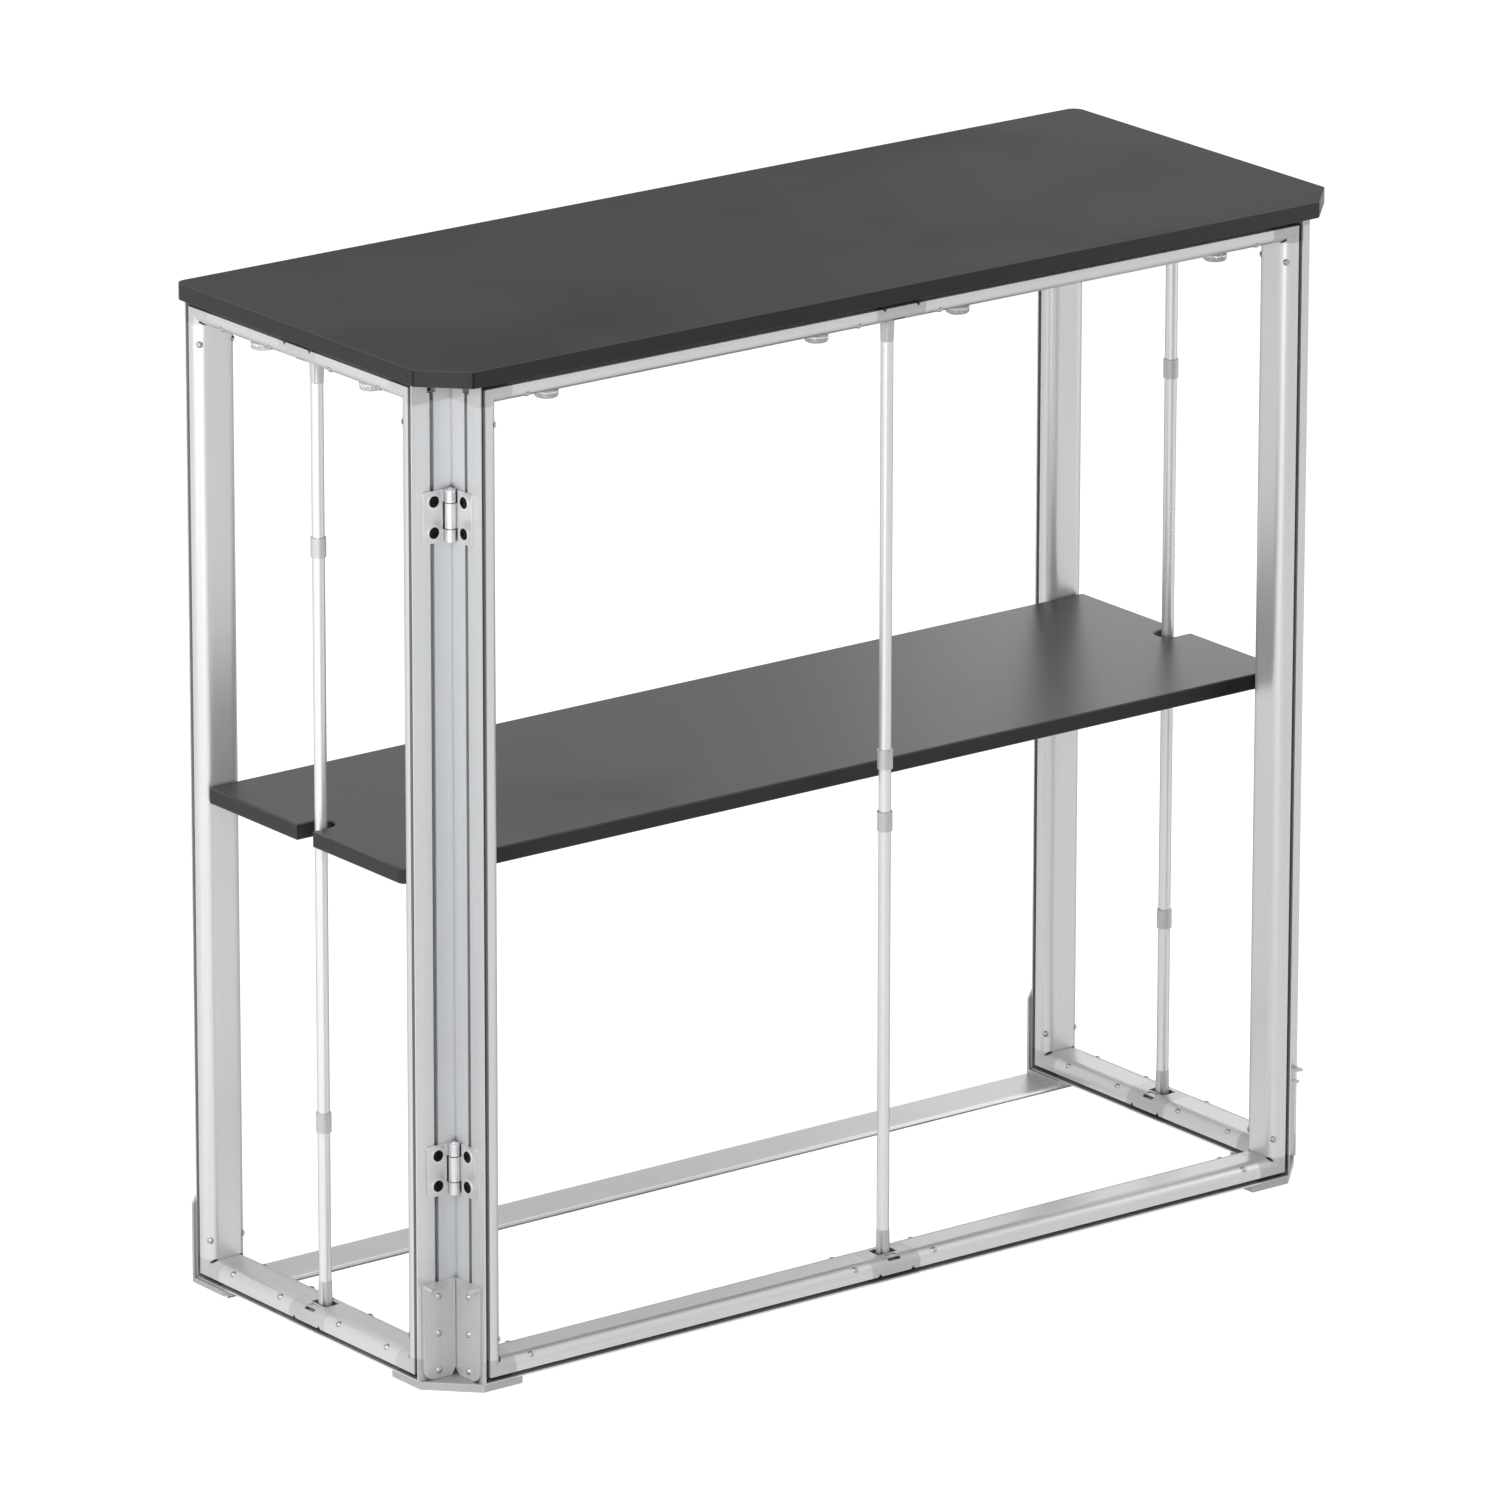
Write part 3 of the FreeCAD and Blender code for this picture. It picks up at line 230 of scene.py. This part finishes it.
def rangeTo(tree, source, low, high, target):
    spread = addNode(tree, "ShaderNodeMapRange", {"To Min": low, "To Max": high})
    tree.links.new(source, spread.inputs["Value"])
    tree.links.new(spread.outputs["Result"], target)


def bumpFrom(tree, source, strength, depth, shader):
    bump = addNode(tree, "ShaderNodeBump", {"Strength": strength, "Distance": depth})
    tree.links.new(source, bump.inputs["Height"])
    tree.links.new(bump.outputs["Normal"], shader.inputs["Normal"])


# metal with a grain along one axis of the frame
def drawnMetal(name, look, run):
    material, tree, shader, place = startMaterial(name, {
        "Metallic": look["metallic"], "Specular Tint": (*look["edge"], 1.0),
        "Specular IOR Level": look["gloss"]})
    stretch = [look["fine"]] * 3
    stretch["xyz".index(run)] = look["along"]
    lines = useGroup(tree, drawnLines, {"Stretch": stretch, "Contrast": look["contrast"]})
    marks = useGroup(tree, handling, {"Scale": look["cloudScale"]})
    tree.links.new(place, lines.inputs["Place"])
    tree.links.new(place, marks.inputs["Place"])
    both = addNode(tree, "ShaderNodeMath", operation="MULTIPLY_ADD")
    tree.links.new(marks.outputs["Cloud"], both.inputs[0])
    both.inputs[1].default_value = look["cloudShare"]
    tree.links.new(lines.outputs["Lines"], both.inputs[2])
    tintBetween(tree, both.outputs[0], marks.outputs["Cloud"], look, shader.inputs["Base Color"])
    rangeTo(tree, both.outputs[0], look["smooth"], look["rough"], shader.inputs["Roughness"])
    bumpFrom(tree, lines.outputs["Rough"], look["bump"], look["depth"], shader)
    return material


# even moulded or painted skin with fine specks
def speckledSkin(name, look):
    material, tree, shader, place = startMaterial(name, look["shader"])
    marks = useGroup(tree, handling, {"Scale": look["cloudScale"], "Speck Scale": look["speckScale"]})
    tree.links.new(place, marks.inputs["Place"])
    blend = addNode(tree, "ShaderNodeMath", operation="MULTIPLY_ADD")
    tree.links.new(marks.outputs["Speck"], blend.inputs[0])
    blend.inputs[1].default_value = look["speckShare"]
    tree.links.new(marks.outputs["Cloud"], blend.inputs[2])
    tintBetween(tree, blend.outputs[0], marks.outputs["Cloud"], look, shader.inputs["Base Color"])
    rangeTo(tree, marks.outputs["Smudge"], look["smooth"], look["rough"], shader.inputs["Roughness"])
    bumpFrom(tree, marks.outputs["Speck"], look["bump"], look["depth"], shader)
    return material


aluminiumLook = {
    "metallic": 0.55, "edge": (0.30, 0.31, 0.32), "gloss": 0.2, "fine": 1500.0, "along": 5.0, "contrast": 0.5,
    "cloudScale": 5.0, "cloudShare": 0.5, "dark": (0.63, 0.64, 0.65), "light": (0.76, 0.77, 0.78),
    "smooth": 0.28, "rough": 0.40, "bump": 0.12, "depth": 0.00004,
    # painted shade from ambient occlusion darkens the grooves and the valley between the frames
    "paintedShade": {"Reach": 0.007, "Unshaded": 0.55, "Darkest": 0.10},
}
postAluminium = drawnMetal("postAluminium", aluminiumLook, "z")
frontRailAluminium = drawnMetal("frontRailAluminium", aluminiumLook, "x")
endRailAluminium = drawnMetal("endRailAluminium", aluminiumLook, "y")
poleLook = {
    "metallic": 0.5, "edge": (0.02, 0.02, 0.02), "gloss": 0.0, "fine": 1200.0, "along": 4.0, "contrast": 0.45,
    "cloudScale": 6.0, "cloudShare": 0.5, "dark": (0.74, 0.75, 0.76), "light": (0.86, 0.86, 0.87),
    "smooth": 0.26, "rough": 0.38, "bump": 0.08, "depth": 0.00004,
    "paintedShade": {"Reach": 0.008, "Unshaded": 0.8, "Darkest": 0.3},
}
poleAluminium = drawnMetal("poleAluminium", poleLook, "z")
steelLook = {
    "metallic": 0.45, "edge": (0.5, 0.5, 0.51), "gloss": 0.4, "fine": 900.0, "along": 9.0, "contrast": 0.55,
    "cloudScale": 14.0, "cloudShare": 0.5, "dark": (0.41, 0.41, 0.42), "light": (0.53, 0.53, 0.54),
    "smooth": 0.32, "rough": 0.46, "bump": 0.15, "depth": 0.00004,
    "paintedShade": {"Reach": 0.004, "Unshaded": 0.55, "Darkest": 0.25},
    "worn": (0.86, 0.86, 0.87), "wornReach": 0.0011,
}
plateSteel = drawnMetal("plateSteel", steelLook, "z")
wingLook = dict(steelLook, dark=(0.57, 0.57, 0.58), light=(0.69, 0.69, 0.70))
wingSteel = drawnMetal("wingSteel", wingLook, "z")
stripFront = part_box("tie_strip")[0][1]
# the strip's steel with painted light: ambient occlusion darkens its front face against the floor as a
# painted contact shadow, a bright band along the burnished front rim is burnish and a painted highlight, and
# a dark band on the front face is a painted contact shadow
stripLook = dict(
    steelLook, dark=(0.64, 0.64, 0.65), light=(0.76, 0.76, 0.77),
    paintedShade={"Reach": 0.0016, "Unshaded": 0.8, "Darkest": 0.05},
    paintedLightBands=[{"from": stripFront + 0.0055, "to": stripFront + 0.0061, "tint": (0.97, 0.97, 0.97)},
           {"from": stripFront + 0.0003, "to": stripFront + 0.0006, "tint": (0.09, 0.09, 0.09)}])
stripSteel = drawnMetal("stripSteel", stripLook, "x")
zincLook = {
    "metallic": 0.55, "edge": (0.5, 0.5, 0.51), "gloss": 0.4, "fine": 1300.0, "along": 12.0, "contrast": 0.45,
    "cloudScale": 26.0, "cloudShare": 0.5, "dark": (0.62, 0.62, 0.63), "light": (0.75, 0.75, 0.76),
    "smooth": 0.26, "rough": 0.38, "bump": 0.1, "depth": 0.00004,
    "paintedShade": {"Reach": 0.0025, "Unshaded": 0.5, "Darkest": 0.12},
    "worn": (0.94, 0.94, 0.95), "wornReach": 0.0017,
}
hingeZinc = drawnMetal("hingeZinc", zincLook, "z")
fittingLook = {
    "shader": {"Metallic": 0.3}, "cloudScale": 22.0, "speckScale": 900.0, "speckShare": 0.3,
    "dark": (0.50, 0.51, 0.52), "light": (0.64, 0.65, 0.66), "smooth": 0.38, "rough": 0.5,
    "bump": 0.15, "depth": 0.00008, "paintedShade": {"Reach": 0.010, "Unshaded": 0.68, "Darkest": 0.08},
    "worn": (0.72, 0.73, 0.74), "wornReach": 0.0008,
}
greyFitting = speckledSkin("greyFitting", fittingLook)
boardLook = {
    "shader": {"Specular IOR Level": 0.13}, "cloudScale": 3.0, "speckScale": 1100.0, "speckShare": 0.6,
    "dark": (0.009, 0.009, 0.0095), "light": (0.020, 0.020, 0.021), "smooth": 0.5, "rough": 0.6,
    "bump": 0.12, "depth": 0.00006,
}
blackBoard = speckledSkin("blackBoard", boardLook)
# the shelf's copy of the black board, its colour painted lighter than the worktop's as painted light
shelfPaintedLighterLook = {
    "shader": {"Specular IOR Level": 0.3}, "cloudScale": 3.0, "speckScale": 1100.0, "speckShare": 0.6,
    "dark": (0.014, 0.014, 0.0145), "light": (0.027, 0.027, 0.028), "smooth": 0.38, "rough": 0.5,
    "bump": 0.12, "depth": 0.00006,
}
shelfPaintedLighterSkin = speckledSkin("shelfPaintedLighterSkin", shelfPaintedLighterLook)
bandLook = {
    "shader": {"Specular IOR Level": 0.22}, "cloudScale": 3.0, "speckScale": 1400.0, "speckShare": 0.6,
    "dark": (0.013, 0.013, 0.0135), "light": (0.026, 0.026, 0.027), "smooth": 0.4, "rough": 0.52,
    "bump": 0.1, "depth": 0.00005,
}
edgeBand = speckledSkin("edgeBand", bandLook)
# lighter colour on the boards' eased rims: wear and a painted highlight along the edge
rimWearAndHighlightLook = {
    "shader": {"Specular IOR Level": 0.4}, "cloudScale": 18.0, "speckScale": 1300.0, "speckShare": 0.6,
    "dark": (0.030, 0.030, 0.031), "light": (0.062, 0.062, 0.064), "smooth": 0.34, "rough": 0.48,
    "bump": 0.1, "depth": 0.00004,
}
rimWearAndHighlight = speckledSkin("rimWearAndHighlight", rimWearAndHighlightLook)
# near-black colour on the band joints at the worktop's cut corners: a dark joint and a painted dark
# reflection of the rounded corner
jointAndDarkReflectionLook = {
    "shader": {"Specular IOR Level": 0.2}, "cloudScale": 30.0, "speckScale": 1500.0, "speckShare": 0.4,
    "dark": (0.002, 0.002, 0.002), "light": (0.006, 0.006, 0.006), "smooth": 0.5, "rough": 0.6,
    "bump": 0.1, "depth": 0.00004,
}
bandJointAndDarkReflection = speckledSkin("bandJointAndDarkReflection", jointAndDarkReflectionLook)
screwLook = {
    "shader": {"Metallic": 0.8}, "cloudScale": 160.0, "speckScale": 2500.0, "speckShare": 0.3,
    "dark": (0.30, 0.30, 0.31), "light": (0.44, 0.44, 0.45), "smooth": 0.2, "rough": 0.32,
    "bump": 0.06, "depth": 0.00003, "paintedShade": {"Reach": 0.003, "Unshaded": 0.8, "Darkest": 0.05},
}
brightScrew = speckledSkin("brightScrew", screwLook)
blackScrewLook = {
    "shader": {"Metallic": 0.0, "Specular IOR Level": 0.08}, "cloudScale": 200.0, "speckScale": 2600.0,
    "speckShare": 0.4, "dark": (0.002, 0.002, 0.002), "light": (0.007, 0.007, 0.0075),
    "smooth": 0.35, "rough": 0.5, "bump": 0.1, "depth": 0.00003,
}
blackScrew = speckledSkin("blackScrew", blackScrewLook)
brassLook = {
    "shader": {"Metallic": 1.0}, "cloudScale": 90.0, "speckScale": 1800.0, "speckShare": 0.3,
    "dark": (0.55, 0.40, 0.18), "light": (0.74, 0.58, 0.28), "smooth": 0.24, "rough": 0.4,
    "bump": 0.08, "depth": 0.00003,
}
insertBrass = speckledSkin("insertBrass", brassLook)
knobLook = {
    "shader": {"Metallic": 0.0, "Transmission Weight": 0.55, "IOR": 1.46}, "cloudScale": 40.0,
    "speckScale": 1500.0, "speckShare": 0.2, "dark": (0.90, 0.91, 0.91), "light": (0.97, 0.97, 0.97),
    "smooth": 0.08, "rough": 0.2, "bump": 0.05, "depth": 0.00004,
}
knobPlastic = speckledSkin("knobPlastic", knobLook)


# the finish of a CAD node, by its name
def finishFor(name):
    if name.endswith("_post"):
        return postAluminium
    if name.endswith("_rails"):
        return frontRailAluminium if name.startswith("front") else endRailAluminium
    if name.endswith("_pole_tubes"):
        return poleAluminium
    if name.endswith("_leaf_screws"):
        return blackScrew
    if name.endswith("_screws"):
        return brightScrew
    if name.startswith("knob_"):
        return knobPlastic
    if "_corner_wing" in name:
        return wingSteel
    if name == "tie_strip":
        return stripSteel
    if "hinge" in name:
        return hingeZinc
    if name == "top_inserts":
        return insertBrass
    if name in ("counter_top", "shelf"):
        return blackBoard
    if name.endswith(("_connectors", "_sleeves", "_sockets", "_pegs")):
        return greyFitting
    return plateSteel


for name, part in nodes.items():
    for slot in part.material_slots:
        slot.material = finishFor(name)
print("finishes on the frame")

# boards: the frame's own outline with eased rims, and band joints at the worktop's cut corners
worktop = {"node": "counter_top", "body": "front_frame", "ease": 0.0013, "easeSteps": 2,
           "seam": 0.0016, "seamSteps": 2, "seamTurn": 45.0, "turnSlack": 3.0}
shelfBoard = {"node": "shelf", "body": "shelf", "ease": 0.0012, "easeSteps": 2}
boardMesh = {"weld": 1e-6, "flatTurn": 0.4, "sharpTurn": 20.0, "sideTilt": 0.1, "leastHeight": 0.014}
boardSlots = {"skin": 0, "seam": 1, "rim": 2, "band": 3}


def edgeRise(edge):
    return abs(edge.verts[0].co.z - edge.verts[1].co.z)


def isSide(face):
    return abs(face.normal.z) < boardMesh["sideTilt"]


# an upright edge where the band turns a cut corner
def isSeam(edge, look):
    if len(edge.link_faces) != 2 or edgeRise(edge) <= boardMesh["leastHeight"]:
        return False
    return abs(math.degrees(edge.calc_face_angle(0.0)) - look["seamTurn"]) < look["turnSlack"]


# a level edge between the board's flat face and a full-height side
def isRim(edge):
    if len(edge.link_faces) != 2 or edgeRise(edge) > boardMesh["weld"]:
        return False
    side = [face for face in edge.link_faces if isSide(face)]
    if len(side) != 1:
        return False
    heights = [vert.co.z for vert in side[0].verts]
    return max(heights) - min(heights) > boardMesh["leastHeight"]


def bevelEdges(bm, edges, width, steps):
    made = bmesh.ops.bevel(bm, geom=edges, offset=width, offset_type="OFFSET", affect="EDGES", segments=steps,
                           profile=0.5, material=-1, clamp_overlap=True)
    return made["faces"]


def finishPiece(bm, name, materials, look):
    bmesh.ops.recalc_face_normals(bm, faces=bm.faces)
    for face in bm.faces:
        face.smooth = True
    mesh = bpy.data.meshes.new(name)
    bm.to_mesh(mesh)
    bm.free()
    mesh.set_sharp_from_angle(angle=math.radians(boardMesh["sharpTurn"]))
    for material in materials:
        mesh.materials.append(material)
    piece = bpy.data.objects.new(name, mesh)
    bpy.context.scene.collection.objects.link(piece)
    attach(piece, look["body"])
    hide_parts(look["node"])


def buildBoard(name, look, skin):
    bm = bmesh.new()
    bm.from_mesh(nodes[look["node"]].data)
    bmesh.ops.remove_doubles(bm, verts=bm.verts, dist=boardMesh["weld"])
    flatTurn = math.radians(boardMesh["flatTurn"])
    bmesh.ops.dissolve_limit(bm, angle_limit=flatTurn, verts=bm.verts, edges=bm.edges)
    bm.normal_update()
    for face in bm.faces:
        face.material_index = boardSlots["band" if isSide(face) else "skin"]
    if "seam" in look:
        seams = [edge for edge in bm.edges if isSeam(edge, look)]
        for face in bevelEdges(bm, seams, look["seam"], look["seamSteps"]):
            face.material_index = boardSlots["seam"]
        bm.normal_update()
    rims = [edge for edge in bm.edges if isRim(edge)]
    for face in bevelEdges(bm, rims, look["ease"], look["easeSteps"]):
        face.material_index = boardSlots["rim"]
    finishPiece(bm, name, (skin, bandJointAndDarkReflection, rimWearAndHighlight, edgeBand), look)


buildBoard("worktopBoard", worktop, blackBoard)
buildBoard("shelfPanel", shelfBoard, shelfPaintedLighterSkin)
print("boards built")

# floor, light and camera
stageLook = {"floorColour": (0.5, 0.5, 0.5, 1.0), "floorSize": 60.0, "floorDrop": 0.0004,
             "whiteLift": 0.9, "ambient": 0.3}
softboxes = {
    "rightSoftbox": {"place": (2.4, -0.9, 1.2), "aim": (0.0, 0.0, 0.5), "size": (1.2, 1.8), "power": 12.0},
    "leftSoftbox": {"place": (-2.6, 0.15, 1.2), "aim": (0.0, 0.0, 0.5), "size": (1.4, 1.8), "power": 20.0},
    "frontSoftbox": {"place": (-1.8, -1.25, 1.05), "aim": (-0.2, 0.0, 0.5), "size": (0.9, 1.5),
                     "power": 16.0},
    "rearSoftbox": {"place": (1.9, 1.75, 1.05), "aim": (0.5, 0.0, 0.47), "size": (0.6, 0.4), "power": 2.2},
    "topSoftbox": {"place": (0.0, 0.0, 3.6), "aim": (0.0, 0.0, 0.5), "size": (3.0, 3.0), "power": 10.0},
}
cameraFit = {"azimuth": -37.28, "elevation": 17.474, "roll": -0.085, "distance": 11.9998,
             "focalPixels": 12461.7, "imagePixels": 1500.0, "sensor": 36.0,
             "sideways": -0.01818, "height": 0.48966, "farClip": 200.0}


# 1 for rays that look at the backdrop, straight or by way of metal and clear plastic
def lookingRay(tree):
    path = tree.nodes.new("ShaderNodeLightPath")
    total = None
    for ray in ("Is Camera Ray", "Is Glossy Ray", "Is Transmission Ray"):
        if total is None:
            total = path.outputs[ray]
            continue
        most = addNode(tree, "ShaderNodeMath", operation="MAXIMUM")
        tree.links.new(total, most.inputs[0])
        tree.links.new(path.outputs[ray], most.inputs[1])
        total = most.outputs[0]
    return total


def buildFloor():
    bm = bmesh.new()
    bmesh.ops.create_grid(bm, x_segments=1, y_segments=1, size=stageLook["floorSize"] / 2)
    bmesh.ops.translate(bm, vec=(0.0, 0.0, -stageLook["floorDrop"]), verts=bm.verts)
    mesh = bpy.data.meshes.new("studioFloor")
    bm.to_mesh(mesh)
    bm.free()
    floor = bpy.data.objects.new("studioFloor", mesh)
    bpy.context.scene.collection.objects.link(floor)
    material = bpy.data.materials.new("paleFloor")
    material.use_nodes = True
    tree = material.node_tree
    tree.nodes.remove(tree.nodes["Principled BSDF"])
    matt = addNode(tree, "ShaderNodeBsdfDiffuse", {"Color": stageLook["floorColour"]})
    glow = tree.nodes.new("ShaderNodeEmission")
    lift = addNode(tree, "ShaderNodeMath", operation="MULTIPLY")
    lift.inputs[1].default_value = stageLook["whiteLift"]
    tree.links.new(lookingRay(tree), lift.inputs[0])
    tree.links.new(lift.outputs[0], glow.inputs["Strength"])
    both = tree.nodes.new("ShaderNodeAddShader")
    tree.links.new(matt.outputs[0], both.inputs[0])
    tree.links.new(glow.outputs[0], both.inputs[1])
    tree.links.new(both.outputs[0], tree.nodes["Material Output"].inputs["Surface"])
    mesh.materials.append(material)


def buildWorld():
    world = bpy.data.worlds.new("studioWorld")
    bpy.context.scene.world = world
    world.use_nodes = True
    tree = world.node_tree
    soft = tree.nodes["Background"]
    soft.inputs["Color"].default_value = (1.0, 1.0, 1.0, 1.0)
    soft.inputs["Strength"].default_value = stageLook["ambient"]
    white = addNode(tree, "ShaderNodeBackground", {"Color": (1.0, 1.0, 1.0, 1.0), "Strength": 1.0})
    mix = tree.nodes.new("ShaderNodeMixShader")
    tree.links.new(lookingRay(tree), mix.inputs["Fac"])
    tree.links.new(soft.outputs[0], mix.inputs[1])
    tree.links.new(white.outputs[0], mix.inputs[2])
    tree.links.new(mix.outputs[0], tree.nodes["World Output"].inputs["Surface"])


def buildLights():
    for name, look in softboxes.items():
        light = bpy.data.lights.new(name, "AREA")
        light.shape = "RECTANGLE"
        light.size, light.size_y = look["size"]
        light.energy = look["power"]
        lamp = bpy.data.objects.new(name, light)
        lamp.location = look["place"]
        aim = Vector(look["aim"]) - Vector(look["place"])
        lamp.rotation_euler = aim.to_track_quat("-Z", "Y").to_euler()
        lamp.visible_camera = False
        bpy.context.scene.collection.objects.link(lamp)


def buildCamera():
    az = math.radians(cameraFit["azimuth"])
    el = math.radians(cameraFit["elevation"])
    roll = math.radians(cameraFit["roll"])
    back = Vector((math.sin(az) * math.cos(el), -math.cos(az) * math.cos(el), math.sin(el)))
    right = Vector((math.cos(az), math.sin(az), 0.0))
    above = back.cross(right)
    target = right * cameraFit["sideways"] + Vector((0.0, 0.0, cameraFit["height"]))
    turnedRight = right * math.cos(roll) - above * math.sin(roll)
    turnedAbove = right * math.sin(roll) + above * math.cos(roll)
    eye = target + back * cameraFit["distance"]
    data = bpy.data.cameras.new("photoCamera")
    data.sensor_width = cameraFit["sensor"]
    data.lens = cameraFit["focalPixels"] / cameraFit["imagePixels"] * cameraFit["sensor"]
    data.clip_end = cameraFit["farClip"]
    camera = bpy.data.objects.new("photoCamera", data)
    camera.matrix_world = Matrix((
        (turnedRight.x, turnedAbove.x, back.x, eye.x), (turnedRight.y, turnedAbove.y, back.y, eye.y),
        (turnedRight.z, turnedAbove.z, back.z, eye.z), (0.0, 0.0, 0.0, 1.0)))
    bpy.context.scene.collection.objects.link(camera)
    bpy.context.scene.camera = camera


buildFloor()
buildWorld()
buildLights()
buildCamera()
bpy.context.scene.view_settings.view_transform = "Standard"
print("studio set")
